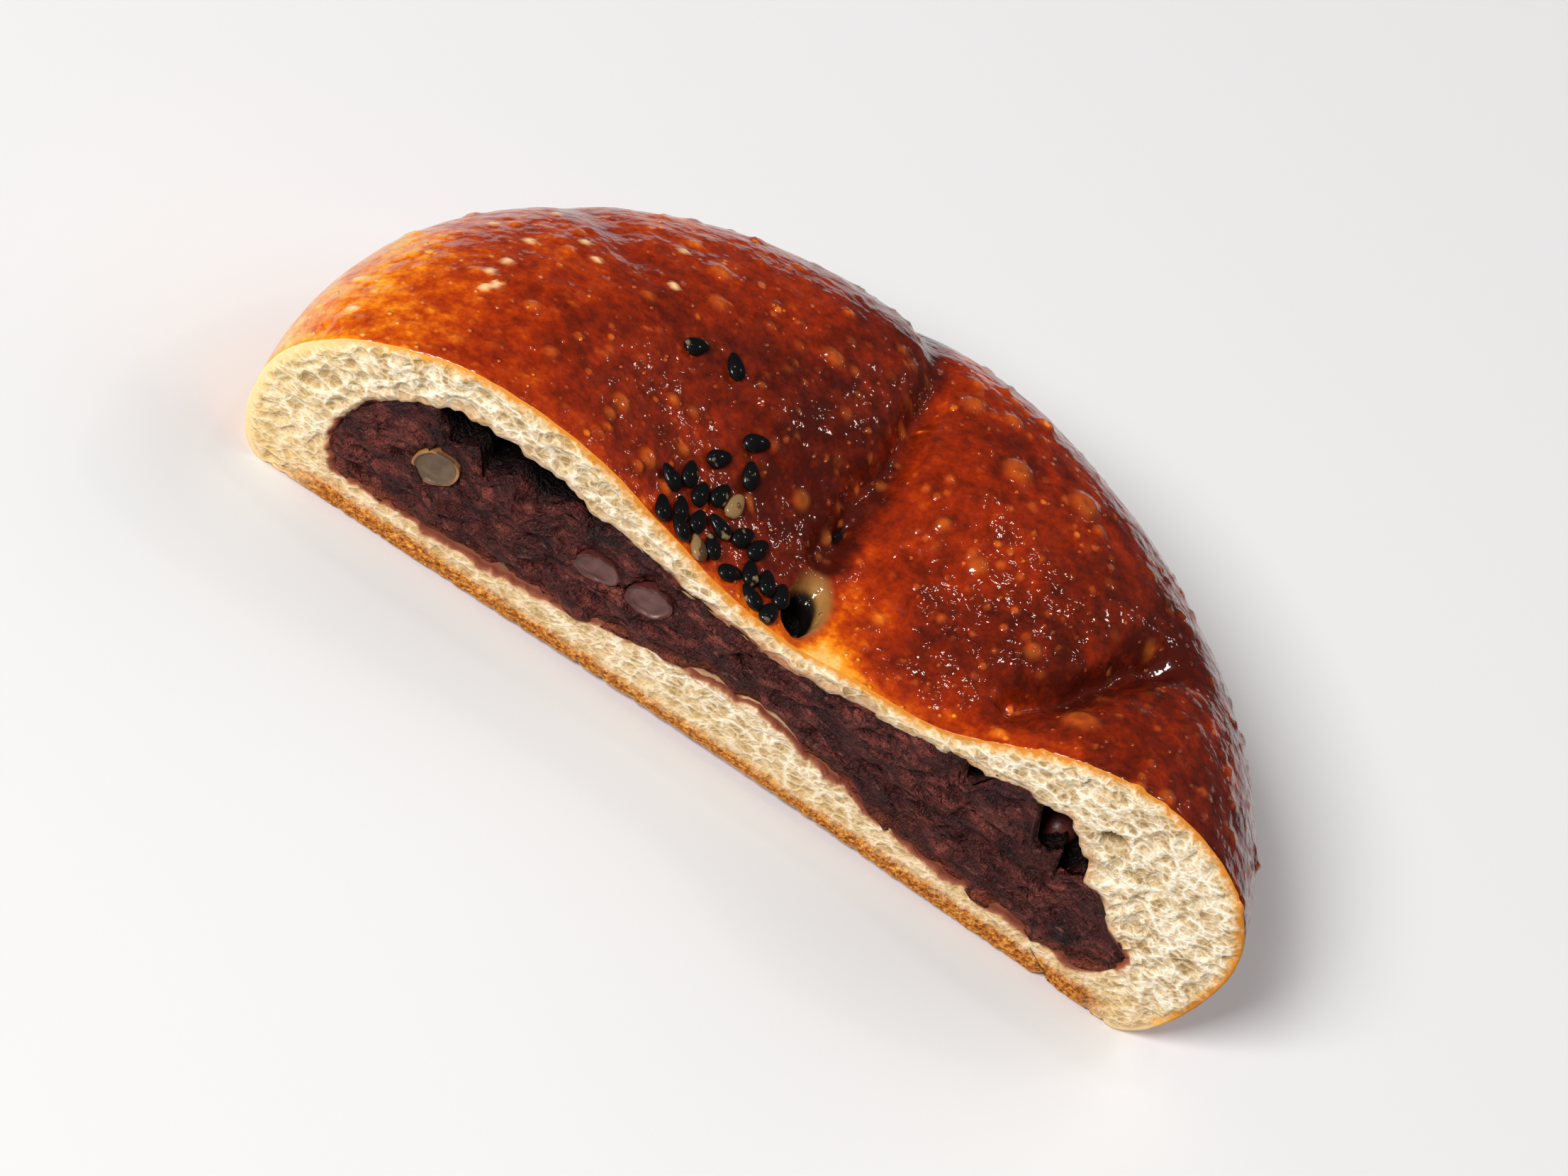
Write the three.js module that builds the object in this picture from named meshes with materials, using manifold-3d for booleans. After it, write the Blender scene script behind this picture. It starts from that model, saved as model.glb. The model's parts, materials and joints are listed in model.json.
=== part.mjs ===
// Half of a bean paste bun: a round baked bun that was filled with coarse red bean paste, sprinkled with
// black sesame and cut through its middle with a knife. It lies on its flat base. Units are millimetres, +Z
// is up, the cut face looks along -Y and the origin is on the table, under the middle of the half's box.
//
// The dough is one baked piece. The paste lies in a pocket of the dough, with an arched air space over it
// where steam lifted the roof. Whole azuki beans sit in the paste, and sesame seeds are stuck to the crust.
import * as THREE from "three";
import { mergeVertices } from "three/addons/utils/BufferGeometryUtils.js";
import Module from "manifold-3d";

const wasm = await Module();
wasm.setup();

// ---- driving dimensions ----
const BUN_RADIUS = 56; // at the widest, on the side wall
const BASE_RADIUS = 50.5; // of the flat part that the bun stands on
const SIDE_HEIGHT = 12; // height of the widest line
const CREST_RADIUS = 36; // the crown is a ring, highest here
const CREST_HEIGHT = 27;
const DIMPLE_HEIGHT = 19.2; // the middle was pressed down before baking
const LEAN = 2.2; // the +X edge is this much higher than the middle, before the crown is added
const DIMPLE_SHIFT = 3; // and is a little off centre, towards +X
const OVAL = 0.935; // depth of the bun over its width, and its outline leans towards -X
const SKEW = 0.035; // by this much of the depth

const POCKET_RADIUS = 47; // of the space that the filling lies in
const POCKET_SIDE_HEIGHT = 10.5;
const POCKET_CREST_RADIUS = 34;
const POCKET_CREST_HEIGHT = 20.4;
const POCKET_ROOF_HEIGHT = 16.2; // at the middle
const FLOOR_HEIGHT = 4.8; // thickness of the dough under the paste
const FLOOR_RISE = 4.8; // extra at the middle, where the press pushed the dough
const FLOOR_RISE_WIDTH = 18;
const FLOOR_EDGE_RADIUS = 43.5;

const GAP = 0.3; // between pieces that touch
const AIR_SPACE = 4; // greatest height of the air space over the paste
const AIR_SPACE_RADIUS = 31; // of the ring where it is highest
const AIR_SPACE_WIDTH = 7;
const PASTE_RIM_RADIUS = 45.4; // where the top of the paste meets its rounded end

// Poked through the crust to let steam out.
const VENT = { x: 0, y: 3.6, radius: 1.7, flare: 2.2, top: 25.5, depth: 12 };
const FACETS = 80; // around the whole bun
const CUT_DEPTH = 0; // the knife's plane is y = 0 while the bun is being shaped

// ---- small helpers ----
const quarterTurn = Math.PI / 2;
const ease = (t) => Math.sin(quarterTurn * Math.min(Math.max(t, 0), 1)) ** 2;
const bell = (t) => Math.exp(-t * t);

// Points of a quarter ellipse about (cx, cz), from the angle a0 to a1 in quarter turns.
function arc(cx, cz, rx, rz, a0, a1, steps) {
  return Array.from({ length: steps }, (_, i) => {
    const a = quarterTurn * (a0 + ((a1 - a0) * (i + 1)) / steps);
    return new THREE.Vector2(cx + rx * Math.cos(a), cz + rz * Math.sin(a));
  });
}

// Points of a height given by a formula of the radius, from r0 to r1.
function slope(height, r0, r1, steps) {
  return Array.from({ length: steps }, (_, i) => {
    const r = r0 + ((r1 - r0) * (i + 1)) / steps;
    return new THREE.Vector2(r, height(r));
  });
}

// A closed body turned about the Z axis from a profile that starts and ends on the axis.
function turned(profile) {
  profile[0].x = 0;
  profile[profile.length - 1].x = 0;
  const geometry = new THREE.LatheGeometry(profile, FACETS);
  return geometry.rotateX(quarterTurn).rotateZ(quarterTurn);
}

// Moves every corner of a geometry by a function of its place.
function reshape(geometry, move) {
  const place = geometry.getAttribute("position");
  const corner = new THREE.Vector3();
  for (let i = 0; i < place.count; i += 1) {
    corner.fromBufferAttribute(place, i);
    move(corner);
    place.setXYZ(i, corner.x, corner.y, corner.z);
  }
  return geometry;
}

function solid(geometry) {
  const bare = geometry.clone();
  bare.deleteAttribute("normal");
  bare.deleteAttribute("uv");
  const merged = mergeVertices(bare, 1e-4);
  return new wasm.Manifold(
    new wasm.Mesh({
      numProp: 3,
      vertProperties: merged.getAttribute("position").array,
      triVerts: new Uint32Array(merged.index.array),
    }),
  );
}

function geometryOf(body) {
  const { numProp, vertProperties, triVerts, numVert } = body.getMesh();
  const place = new Float32Array(numVert * 3);
  for (let i = 0; i < numVert; i += 1) {
    place.set(vertProperties.subarray(i * numProp, i * numProp + 3), i * 3);
  }
  return new THREE.BufferGeometry()
    .setAttribute("position", new THREE.BufferAttribute(place, 3))
    .setIndex(new THREE.BufferAttribute(triVerts, 1));
}

function named(name, geometry, material) {
  const mesh = new THREE.Mesh(geometry, material);
  mesh.name = name;
  return mesh;
}

// The side of the knife that is kept.
const keptSide = solid(
  new THREE.BoxGeometry(4 * BUN_RADIUS, 2 * BUN_RADIUS, 4 * BUN_RADIUS).translate(
    0,
    CUT_DEPTH + BUN_RADIUS,
    0,
  ),
);

// ---- finishes ----
const crust = new THREE.MeshStandardMaterial({ color: 0x9c3f12, roughness: 0.35, metalness: 0 });
const paste = new THREE.MeshStandardMaterial({ color: 0x3c2020, roughness: 0.6, metalness: 0 });
const beanSkin = new THREE.MeshStandardMaterial({ color: 0x6b3a30, roughness: 0.4, metalness: 0 });
const blackSeed = new THREE.MeshStandardMaterial({ color: 0x101010, roughness: 0.35, metalness: 0 });
const tanSeed = new THREE.MeshStandardMaterial({ color: 0x9a6a3a, roughness: 0.45, metalness: 0 });

// ---- dough ----
// Folds in the crust, each a path on plan with the depth and width of its valley.
const FOLDS = [
  {
    path: [[0.6, 11], [1.2, 18], [3, 26], [4.4, 38], [4, 44], [1, 48], [0, 58]],
    depth: 4.2,
    width: 3.6,
    pinch: 1.4,
  },
  { path: [[23.6, 7], [28.8, 12.8], [34.6, 21]], depth: 2.6, width: 3.2, pinch: 0 },
  { path: [[-30, 30], [-37, 40]], depth: 0.9, width: 4, pinch: 0.3 },
];
// Broad hollows and swellings: place on plan, radius, and rise.
const SWELLINGS = [
  { x: 18, y: 0, radius: 7, rise: -2.2 },
  { x: -12, y: 8, radius: 9, rise: -0.8 },
  { x: -34, y: 18, radius: 14, rise: 0.8 },
  { x: 36, y: 4, radius: 10, rise: 1 },
  { x: 12, y: 26, radius: 9, rise: 0.9 },
];

// 1 in the middle of a fold, falling to 0 beside it.
function nearness({ path, width }, x, y) {
  let closest = Infinity;
  for (let i = 1; i < path.length; i += 1) {
    const [ax, ay] = path[i - 1];
    const [bx, by] = path[i];
    const along = ((x - ax) * (bx - ax) + (y - ay) * (by - ay)) / ((bx - ax) ** 2 + (by - ay) ** 2);
    const t = Math.min(Math.max(along, 0), 1);
    closest = Math.min(closest, Math.hypot(x - ax - t * (bx - ax), y - ay - t * (by - ay)));
  }
  return bell(closest / width);
}

// The bun isn't quite round on plan.
function setOutline(corner) {
  corner.x -= SKEW * corner.y;
  corner.y *= OVAL;
}

// Turns the plain turned bun into the baked one: the dimple is off centre, the +X side is a little higher
// and the folds run out from the dimple. The base stays flat.
function bake(corner) {
  const height = corner.z / CREST_HEIGHT;
  const outward = Math.hypot(corner.x, corner.y) / BUN_RADIUS;
  corner.x += DIMPLE_SHIFT * height * (1 - outward ** 2);
  let rise = LEAN * (corner.x / BUN_RADIUS);
  let pinch = 0;
  for (const fold of FOLDS) {
    const near = nearness(fold, corner.x, corner.y);
    rise -= fold.depth * near;
    pinch += fold.pinch * near * height;
  }
  for (const { x, y, radius, rise: amount } of SWELLINGS) {
    rise += amount * bell(Math.hypot(corner.x - x, corner.y - y) / radius);
  }
  corner.z += rise * height;
  corner.y *= 1 - pinch / BUN_RADIUS;
  setOutline(corner);
}

const crown = (r) => DIMPLE_HEIGHT + (CREST_HEIGHT - DIMPLE_HEIGHT) * ease(r / CREST_RADIUS);
const doughProfile = [
  new THREE.Vector2(0, 0),
  ...slope(() => 0, 0, BASE_RADIUS, 3),
  ...arc(BASE_RADIUS, SIDE_HEIGHT, BUN_RADIUS - BASE_RADIUS, SIDE_HEIGHT, -1, 0, 4),
  ...arc(CREST_RADIUS, SIDE_HEIGHT, BUN_RADIUS - CREST_RADIUS, CREST_HEIGHT - SIDE_HEIGHT, 0, 1, 8),
  ...slope(crown, CREST_RADIUS, 0, 12),
];

const floorHeight = (r) => FLOOR_HEIGHT + FLOOR_RISE * bell(r / FLOOR_RISE_WIDTH);
const roofRise = POCKET_CREST_HEIGHT - POCKET_ROOF_HEIGHT;
const roofHeight = (r) => POCKET_ROOF_HEIGHT + roofRise * ease(r / POCKET_CREST_RADIUS);
const pocketProfile = [
  new THREE.Vector2(0, floorHeight(0)),
  ...slope(floorHeight, 0, FLOOR_EDGE_RADIUS, 6),
  ...arc(
    FLOOR_EDGE_RADIUS,
    POCKET_SIDE_HEIGHT,
    POCKET_RADIUS - FLOOR_EDGE_RADIUS,
    POCKET_SIDE_HEIGHT - floorHeight(FLOOR_EDGE_RADIUS),
    -1,
    0,
    2,
  ),
  ...arc(
    POCKET_CREST_RADIUS,
    POCKET_SIDE_HEIGHT,
    POCKET_RADIUS - POCKET_CREST_RADIUS,
    POCKET_CREST_HEIGHT - POCKET_SIDE_HEIGHT,
    0,
    1,
    4,
  ),
  ...slope(roofHeight, POCKET_CREST_RADIUS, 0, 7),
];

function dough() {
  const vent = new THREE.CylinderGeometry(VENT.flare, VENT.radius, VENT.depth, 12)
    .rotateX(quarterTurn)
    .translate(VENT.x, VENT.y, VENT.top - VENT.depth / 2);
  const whole = solid(reshape(turned(doughProfile), bake));
  const hollowed = whole.subtract(solid(reshape(turned(pocketProfile), setOutline))).subtract(solid(vent));
  return named("dough", geometryOf(hollowed.intersect(keptSide)), crust);
}

// ---- azuki beans ----
// Whole beans in the paste that the knife met or that lie behind the cut: centre, half sizes, turn about Y.
const BEANS = [
  { x: -37, y: 0.6, z: 12, size: [2.4, 3.3, 2.4], turn: 0.3 },
  { x: -18.6, y: 0.8, z: 12.8, size: [2.5, 3.0, 1.7], turn: 0.1 },
  { x: -12.6, y: 1.2, z: 13, size: [2.5, 3.2, 2.0], turn: -0.2 },
  { x: 28.4, y: 3.2, z: 15.6, size: [2.9, 2.4, 2.2], turn: 0.2 },
  { x: 34, y: 4.4, z: 15.6, size: [2.3, 2.8, 2.2], turn: -0.3 },
];

function beanShape({ x, y, z, size, turn }, extra) {
  return new THREE.SphereGeometry(1, 12, 8)
    .scale(...size.map((half) => half + extra))
    .rotateY(turn)
    .translate(x, y, z);
}

function azukiBeans() {
  return BEANS.map((bean, i) => {
    const cut = solid(beanShape(bean, 0)).intersect(keptSide);
    return named(`azuki_bean_${i + 1}`, geometryOf(cut), beanSkin);
  });
}

// ---- bean paste ----
const airSpace = (r) => AIR_SPACE * bell((r - AIR_SPACE_RADIUS) / AIR_SPACE_WIDTH);
function pasteTop(r) {
  const inEnd = Math.max(r - POCKET_CREST_RADIUS, 0) / (POCKET_RADIUS - POCKET_CREST_RADIUS);
  const endDrop = (POCKET_CREST_HEIGHT - POCKET_SIDE_HEIGHT) * (1 - Math.sqrt(1 - inEnd ** 2));
  return roofHeight(r) - endDrop - 2 * GAP - airSpace(r);
}
const PASTE_RADIUS = POCKET_RADIUS - 2 * GAP;
const PASTE_EDGE_RADIUS = FLOOR_EDGE_RADIUS - GAP;
const pasteProfile = [
  new THREE.Vector2(0, floorHeight(0) + GAP),
  ...slope((r) => floorHeight(r) + GAP, 0, PASTE_EDGE_RADIUS, 6),
  ...arc(
    PASTE_EDGE_RADIUS,
    POCKET_SIDE_HEIGHT,
    PASTE_RADIUS - PASTE_EDGE_RADIUS,
    POCKET_SIDE_HEIGHT - floorHeight(PASTE_EDGE_RADIUS) - GAP,
    -1,
    0,
    2,
  ),
  ...slope(pasteTop, PASTE_RIM_RADIUS, 0, 14),
];

function beanPaste() {
  const sockets = BEANS.map((bean) => solid(beanShape(bean, GAP)));
  const filling = solid(reshape(turned(pasteProfile), setOutline));
  const hollowed = sockets.reduce((left, socket) => left.subtract(socket), filling);
  return named("bean_paste", geometryOf(hollowed.intersect(keptSide)), paste);
}

// ---- sesame ----
const SEED = { length: 2.9, width: 1.6, thickness: 1.0, taper: 0.32 };
// Where each seed lies on plan, and its heading in degrees from +X.
const SEEDS = [
  [-22.2, 19.9, 44],
  [-17.8, 20.8, 127],
  [-12.2, 15.9, 39],
  [-14.9, 11.8, 50],
  [-11.1, 13, 115],
  [-16.8, 7.6, 107],
  [-13, 8.6, 81],
  [-14.7, 6.7, 91],
  [-11, 9.1, 88],
  [-18.4, 5, 157],
  [-8.8, 6.8, 64],
  [-6.8, 6.9, 71],
  [-11.5, 5.5, 165],
  [-16, 3.3, 110],
  [-13.8, 3.9, 89],
  [-6.4, 3.9, 110],
  [-11.3, 2.9, 120],
  [-17.8, 1.5, 115],
  [-15.1, 1.1, 150],
  [-12.6, 1.25, 130],
  [-8.4, 2.1, 44],
  [-4.4, 4.3, 110],
  [-5.2, 1.5, 150],
  [-2.9, 1.35, 80],
  [-2.5, 4.4, 100],
];
const TAN_SEEDS = [8, 19]; // counted from 0
const SEED_CLEARANCE = 0.35; // under a seed

function seedShape() {
  const shape = new THREE.SphereGeometry(0.5, 8, 6).scale(SEED.length, SEED.width, SEED.thickness);
  return reshape(shape, (corner) => {
    const pointed = 1 - SEED.taper * (corner.x / (SEED.length / 2));
    corner.y *= pointed;
    corner.z *= pointed;
  });
}

function sesameSeeds(crustMesh) {
  crustMesh.updateMatrixWorld(true);
  const down = new THREE.Vector3(0, 0, -1);
  return SEEDS.map(([x, y, heading], i) => {
    const ray = new THREE.Raycaster(new THREE.Vector3(x, y, 2 * CREST_HEIGHT), down);
    const { point, face } = ray.intersectObject(crustMesh)[0];
    const turn = THREE.MathUtils.degToRad(heading);
    const up = face.normal.clone();
    const side = new THREE.Vector3().crossVectors(up, new THREE.Vector3(Math.cos(turn), Math.sin(turn), 0));
    side.normalize();
    const ahead = new THREE.Vector3().crossVectors(side, up);
    const seed = named(
      `sesame_seed_${String(i + 1).padStart(2, "0")}`,
      seedShape(),
      TAN_SEEDS.includes(i) ? tanSeed : blackSeed,
    );
    seed.quaternion.setFromRotationMatrix(new THREE.Matrix4().makeBasis(ahead, side, up));
    seed.position.copy(point).addScaledVector(up, SEED.thickness / 2 + SEED_CLEARANCE);
    return seed;
  });
}

// ---- the half bun ----
const doughMesh = dough();
const halfBun = new THREE.Group();
halfBun.add(doughMesh, beanPaste(), ...azukiBeans(), ...sesameSeeds(doughMesh));

const middle = new THREE.Box3().setFromObject(doughMesh).getCenter(new THREE.Vector3());
halfBun.position.set(-middle.x, -middle.y, 0);

export default halfBun;
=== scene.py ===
import json
import math
import random

import bpy
from mathutils import Matrix, Vector, bvhtree, kdtree, noise


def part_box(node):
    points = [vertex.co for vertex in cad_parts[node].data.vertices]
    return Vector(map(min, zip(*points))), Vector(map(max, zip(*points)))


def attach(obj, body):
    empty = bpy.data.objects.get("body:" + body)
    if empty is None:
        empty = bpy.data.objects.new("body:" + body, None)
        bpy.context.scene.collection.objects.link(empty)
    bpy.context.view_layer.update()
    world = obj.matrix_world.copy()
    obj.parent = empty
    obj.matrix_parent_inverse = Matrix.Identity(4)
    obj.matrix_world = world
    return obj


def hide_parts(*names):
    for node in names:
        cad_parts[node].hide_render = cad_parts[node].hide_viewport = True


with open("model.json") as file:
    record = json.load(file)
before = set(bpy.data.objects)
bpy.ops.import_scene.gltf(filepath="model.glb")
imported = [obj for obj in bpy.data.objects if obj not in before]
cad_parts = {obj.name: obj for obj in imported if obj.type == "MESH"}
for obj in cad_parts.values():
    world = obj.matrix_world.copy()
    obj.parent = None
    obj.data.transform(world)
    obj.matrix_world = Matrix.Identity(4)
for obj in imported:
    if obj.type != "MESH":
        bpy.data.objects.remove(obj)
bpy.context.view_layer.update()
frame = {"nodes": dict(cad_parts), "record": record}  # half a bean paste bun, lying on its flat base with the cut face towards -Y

# ---- Baked dough ----
# One round of rich dough, closed over the filling, pressed in the middle, brushed with egg and baked dark
# on top. A knife went straight down through it, so the flat side shows the crumb. It is shaped in
# millimetres about the middle of the whole bun, with y counted from the cut, then brought to its place.
mm = 0.001
cut_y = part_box("dough")[0].y

BUN_RADIUS = 56
BASE_RADIUS = 50.5
SIDE_HEIGHT = 12
CREST_RADIUS = 36
CREST_HEIGHT = 27
DIMPLE_HEIGHT = 19.2
DIMPLE_SHIFT = 3
LEAN = 2.2
OVAL = 0.935
SKEW = 0.035
ARCH_HEIGHT = 0.9  # the base lifted a little from the tray in the middle

POCKET_RADIUS = 47
POCKET_SIDE_HEIGHT = 10.5
POCKET_CREST_RADIUS = 34
POCKET_CREST_HEIGHT = 20.4
POCKET_ROOF_HEIGHT = 16.2
POCKET_DROP = 2.3  # of the roof, under the vent
THINNEST_CROWN = 1.3
FLOOR_HEIGHT = 4.8
FLOOR_RISE = 4.8
FLOOR_RISE_WIDTH = 18
FLOOR_EDGE_RADIUS = 43.5
# Where the roof settled at the pocket's right end: from x, to x, and the share of its height that is lost.
SETTLED = [(32.5, 37, 0.27), (37.3, 38.5, 0.29), (39, 45, 0.22)]

VENT = Vector((0.1, 4.6))  # the hole itself
VENT_RADIUS = 2.0
VENT_DEPTH = 3.2
VENT_STRETCH = 1.6  # it is longer than it is wide
FUNNEL = Vector((0.4, 5.9))  # the unglazed hollow round it
FUNNEL_RADIUS = 2.4
FUNNEL_DEPTH = 1.3
SLIT = Vector((0.4, 16.4))  # a second, half closed hole in the long fold
SLIT_HALF_WIDTH = 0.6
SLIT_HALF_LENGTH = 1.3
SLIT_DEPTH = 2.2
BUBBLE = Vector((37.7, 21.3))  # one large bubble in the crumb, as x and z on the cut
BUBBLE_HALF_WIDTH = 1.8
BUBBLE_HALF_HEIGHT = 1.3
BUBBLE_DEPTH = 1.8

# Each fold in the crust, a narrow valley in a broader one: points on plan, then depth and width, twice.
FOLDS = [
    ([(0.2, 13), (0.8, 18), (2.2, 26), (3.4, 38), (3, 44), (1, 48), (0, 58)], 2.3, 2.0, 1.9, 6.5),
    ([(23.6, 7), (26.5, 10.5), (28.8, 12.8), (31.5, 17.5), (34.6, 21)], 2.5, 1.6, 1.9, 4.4),
    ([(-30, 30), (-37, 40)], 0.5, 2.5, 0.5, 6),
]
# Broad hollows and swellings: x, y, radius and rise.
SWELLINGS = [
    (18, 0, 7, -2.2),
    (-12, 8, 9, -0.8),
    (-34, 18, 14, 0.8),
    (36, 4, 10, 1),
    (12, 26, 9, 0.9),
    (-11, 21, 4, 0.6),
    (8.5, 13, 4, 0.7),
    (18, 15, 4, -0.5),
]

RINGS_LOW = 54  # on the base
RINGS_SIDE = 57  # up the side and over the shoulder
RINGS_TOP = 54  # across the crown
RINGS = RINGS_LOW + RINGS_SIDE + RINGS_TOP
SIDE_SHARE = 0.32  # of the side's rings, below its widest place
HALF_TURN_STEPS = 128
POCKET_RINGS_LOW = 36
POCKET_RINGS_SIDE = 38
POCKET_RINGS_TOP = 36
POCKET_RINGS = POCKET_RINGS_LOW + POCKET_RINGS_SIDE + POCKET_RINGS_TOP
POCKET_SIDE_SHARE = 0.3
POCKET_STEPS = 40
CRUMB_ROWS = 34
STANDS_PROUD = 0.3  # crumb swells a little out of the cut between its pores
ON_CUT = 1e-5  # how far from y = 0 a point of the cut can be


def ease(t):
    return math.sin(math.pi / 2 * min(max(t, 0), 1)) ** 2


def bell(t):
    return math.exp(-t * t)


def smooth(low, high, value):
    t = min(max((value - low) / (high - low), 0), 1)
    return t * t * (3 - 2 * t)


def wobble(x, y, z, size, seed):
    """Soft noise from about -1 to 1, whose features are about size across."""
    return noise.noise(Vector((x / size + seed, y / size, z / size)))


def crown_height(r):
    return DIMPLE_HEIGHT + (CREST_HEIGHT - DIMPLE_HEIGHT) * ease(r / CREST_RADIUS)


def floor_height(r):
    return FLOOR_HEIGHT + FLOOR_RISE * bell(r / FLOOR_RISE_WIDTH)


def roof_height(r):
    return POCKET_ROOF_HEIGHT + (POCKET_CREST_HEIGHT - POCKET_ROOF_HEIGHT) * ease(r / POCKET_CREST_RADIUS)


def from_vent(x, y, middle=VENT):
    return math.hypot(x - middle.x, (y - middle.y) / VENT_STRETCH)


def roof_drop(x, y):
    """How far the roof and the filling are pushed down under the vent."""
    return POCKET_DROP * bell(from_vent(x, OVAL * y) / 2.2)


def skin_outline(ring):
    """Radius and height of a ring of the skin, from the middle of the base to the middle of the crown."""
    if ring <= RINGS_LOW:
        return BASE_RADIUS * ring / RINGS_LOW, 0
    ring -= RINGS_LOW
    if ring <= RINGS_SIDE:
        t = ring / RINGS_SIDE
        if t < SIDE_SHARE:
            a = math.pi / 2 * t / SIDE_SHARE
            return (
                BASE_RADIUS + (BUN_RADIUS - BASE_RADIUS) * math.sin(a),
                SIDE_HEIGHT * (1 - math.cos(a)),
            )
        a = math.pi / 2 * (t - SIDE_SHARE) / (1 - SIDE_SHARE)
        return (
            CREST_RADIUS + (BUN_RADIUS - CREST_RADIUS) * math.cos(a),
            SIDE_HEIGHT + (CREST_HEIGHT - SIDE_HEIGHT) * math.sin(a),
        )
    r = CREST_RADIUS * (1 - (ring - RINGS_SIDE) / RINGS_TOP)
    return r, crown_height(r)


def pocket_outline(ring):
    """The same for the pocket round the filling, from the middle of its floor to the middle of its roof."""
    if ring <= POCKET_RINGS_LOW:
        r = FLOOR_EDGE_RADIUS * ring / POCKET_RINGS_LOW
        return r, floor_height(r)
    ring -= POCKET_RINGS_LOW
    if ring <= POCKET_RINGS_SIDE:
        t = ring / POCKET_RINGS_SIDE
        if t < POCKET_SIDE_SHARE:
            a = math.pi / 2 * t / POCKET_SIDE_SHARE
            rise = POCKET_SIDE_HEIGHT - floor_height(FLOOR_EDGE_RADIUS)
            return (
                FLOOR_EDGE_RADIUS + (POCKET_RADIUS - FLOOR_EDGE_RADIUS) * math.sin(a),
                POCKET_SIDE_HEIGHT - rise * math.cos(a),
            )
        a = math.pi / 2 * (t - POCKET_SIDE_SHARE) / (1 - POCKET_SIDE_SHARE)
        return (
            POCKET_CREST_RADIUS + (POCKET_RADIUS - POCKET_CREST_RADIUS) * math.cos(a),
            POCKET_SIDE_HEIGHT + (POCKET_CREST_HEIGHT - POCKET_SIDE_HEIGHT) * math.sin(a),
        )
    r = POCKET_CREST_RADIUS * (1 - (ring - POCKET_RINGS_SIDE) / POCKET_RINGS_TOP)
    return r, roof_height(r)


def sag(x, z):
    """The pocket's right end is low, because the crumb above it settled on the filling."""
    if z > POCKET_SIDE_HEIGHT:
        lost = sum(share * smooth(start, end, x) for start, end, share in SETTLED)
        z = POCKET_SIDE_HEIGHT + (z - POCKET_SIDE_HEIGHT) * (1 - lost)
    return z - 0.27 * (z - FLOOR_HEIGHT) * smooth(40, POCKET_RADIUS, x)


def distance_to(path, x, y):
    closest = math.inf
    for (ax, ay), (bx, by) in zip(path, path[1:]):
        t = ((x - ax) * (bx - ax) + (y - ay) * (by - ay)) / ((bx - ax) ** 2 + (by - ay) ** 2)
        t = min(max(t, 0), 1)
        closest = min(closest, math.hypot(x - ax - t * (bx - ax), y - ay - t * (by - ay)))
    return closest


def fold_depth(x, y):
    """How deep the folds are at a place. They wander a little, and fade towards the back and the cut."""
    x += 0.7 * wobble(x, y, 0, 5, 91)
    y += 0.7 * wobble(x, y, 0, 5, 92)
    deepest = 0
    for path, depth, width, broad_depth, broad_width in FOLDS:
        d = distance_to(path, x, y)
        deepest += depth * bell(d / width) + broad_depth * bell(d / broad_width)
    return deepest * (1 - 0.62 * smooth(35, 45, y)) * smooth(4, 13, y + 0.4 * max(x - 4, 0))


def bake(x, y, z):
    """Where a point of the plain turned skin ends up on the baked bun."""
    height = z / CREST_HEIGHT
    outward = math.hypot(x, y) / BUN_RADIUS
    x += DIMPLE_SHIFT * height * (1 - outward**2)
    fold = fold_depth(x, y)
    rise = LEAN * x / BUN_RADIUS - fold
    for cx, cy, radius, amount in SWELLINGS:
        rise += amount * bell(math.hypot(x - cx, y - cy) / radius)
    rise += 0.45 * wobble(x, y, z, 11, 3) + 0.16 * wobble(x, y, z, 4, 8)
    y *= 1 - 0.3 * fold * height / BUN_RADIUS
    return x - SKEW * y, OVAL * y, z + rise * height


def tray_side(x, y, r):
    """Height of the underside: lightly pitted, lifted in the middle, and torn a little along the cut."""
    z = ARCH_HEIGHT * bell(x / 30) * bell(y / 22)
    z += 0.12 * (1 + wobble(x, y, 0, 1.3, 5)) * smooth(0, 3, BASE_RADIUS - r)
    z += 0.55 * max(wobble(x, y, 0, 0.9, 97), 0) * smooth(3, 0, y)
    return z + 1.1 * bell((x - 42.3) / 0.6) * bell(y / 1.5)


def vent_depth(x, y):
    """How far the vent and the funnel round it go down."""
    depth = FUNNEL_DEPTH * smooth(FUNNEL_RADIUS, 0.55 * FUNNEL_RADIUS, from_vent(x, y, FUNNEL))
    depth += VENT_DEPTH * smooth(VENT_RADIUS, 0.7 * VENT_RADIUS, from_vent(x, y))
    return depth * smooth(0.4, 1.6, y)


def half_ball(name, rings, steps):
    """Half a ball with the cut side open, towards -Y."""
    bpy.ops.object.select_all(action="DESELECT")
    bpy.ops.mesh.primitive_uv_sphere_add(segments=2 * steps, ring_count=rings, radius=1)
    ball = bpy.context.object
    ball.name = name
    bpy.ops.object.mode_set(mode="EDIT")
    bpy.ops.mesh.select_all(action="SELECT")
    bpy.ops.mesh.bisect(plane_co=(0, 0, 0), plane_no=(0, 1, 0), clear_inner=True)
    bpy.ops.object.mode_set(mode="OBJECT")
    return ball


def ring_of(co, rings):
    return rings * math.acos(min(max(-co.z / co.length, -1), 1)) / math.pi


def select_edges(mesh, wanted):
    for group in (mesh.vertices, mesh.edges, mesh.polygons):
        group.foreach_set("select", [False] * len(group))
    for edge in mesh.edges:
        a, b = (mesh.vertices[i].co for i in edge.vertices)
        edge.select = wanted(a, b)


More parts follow.
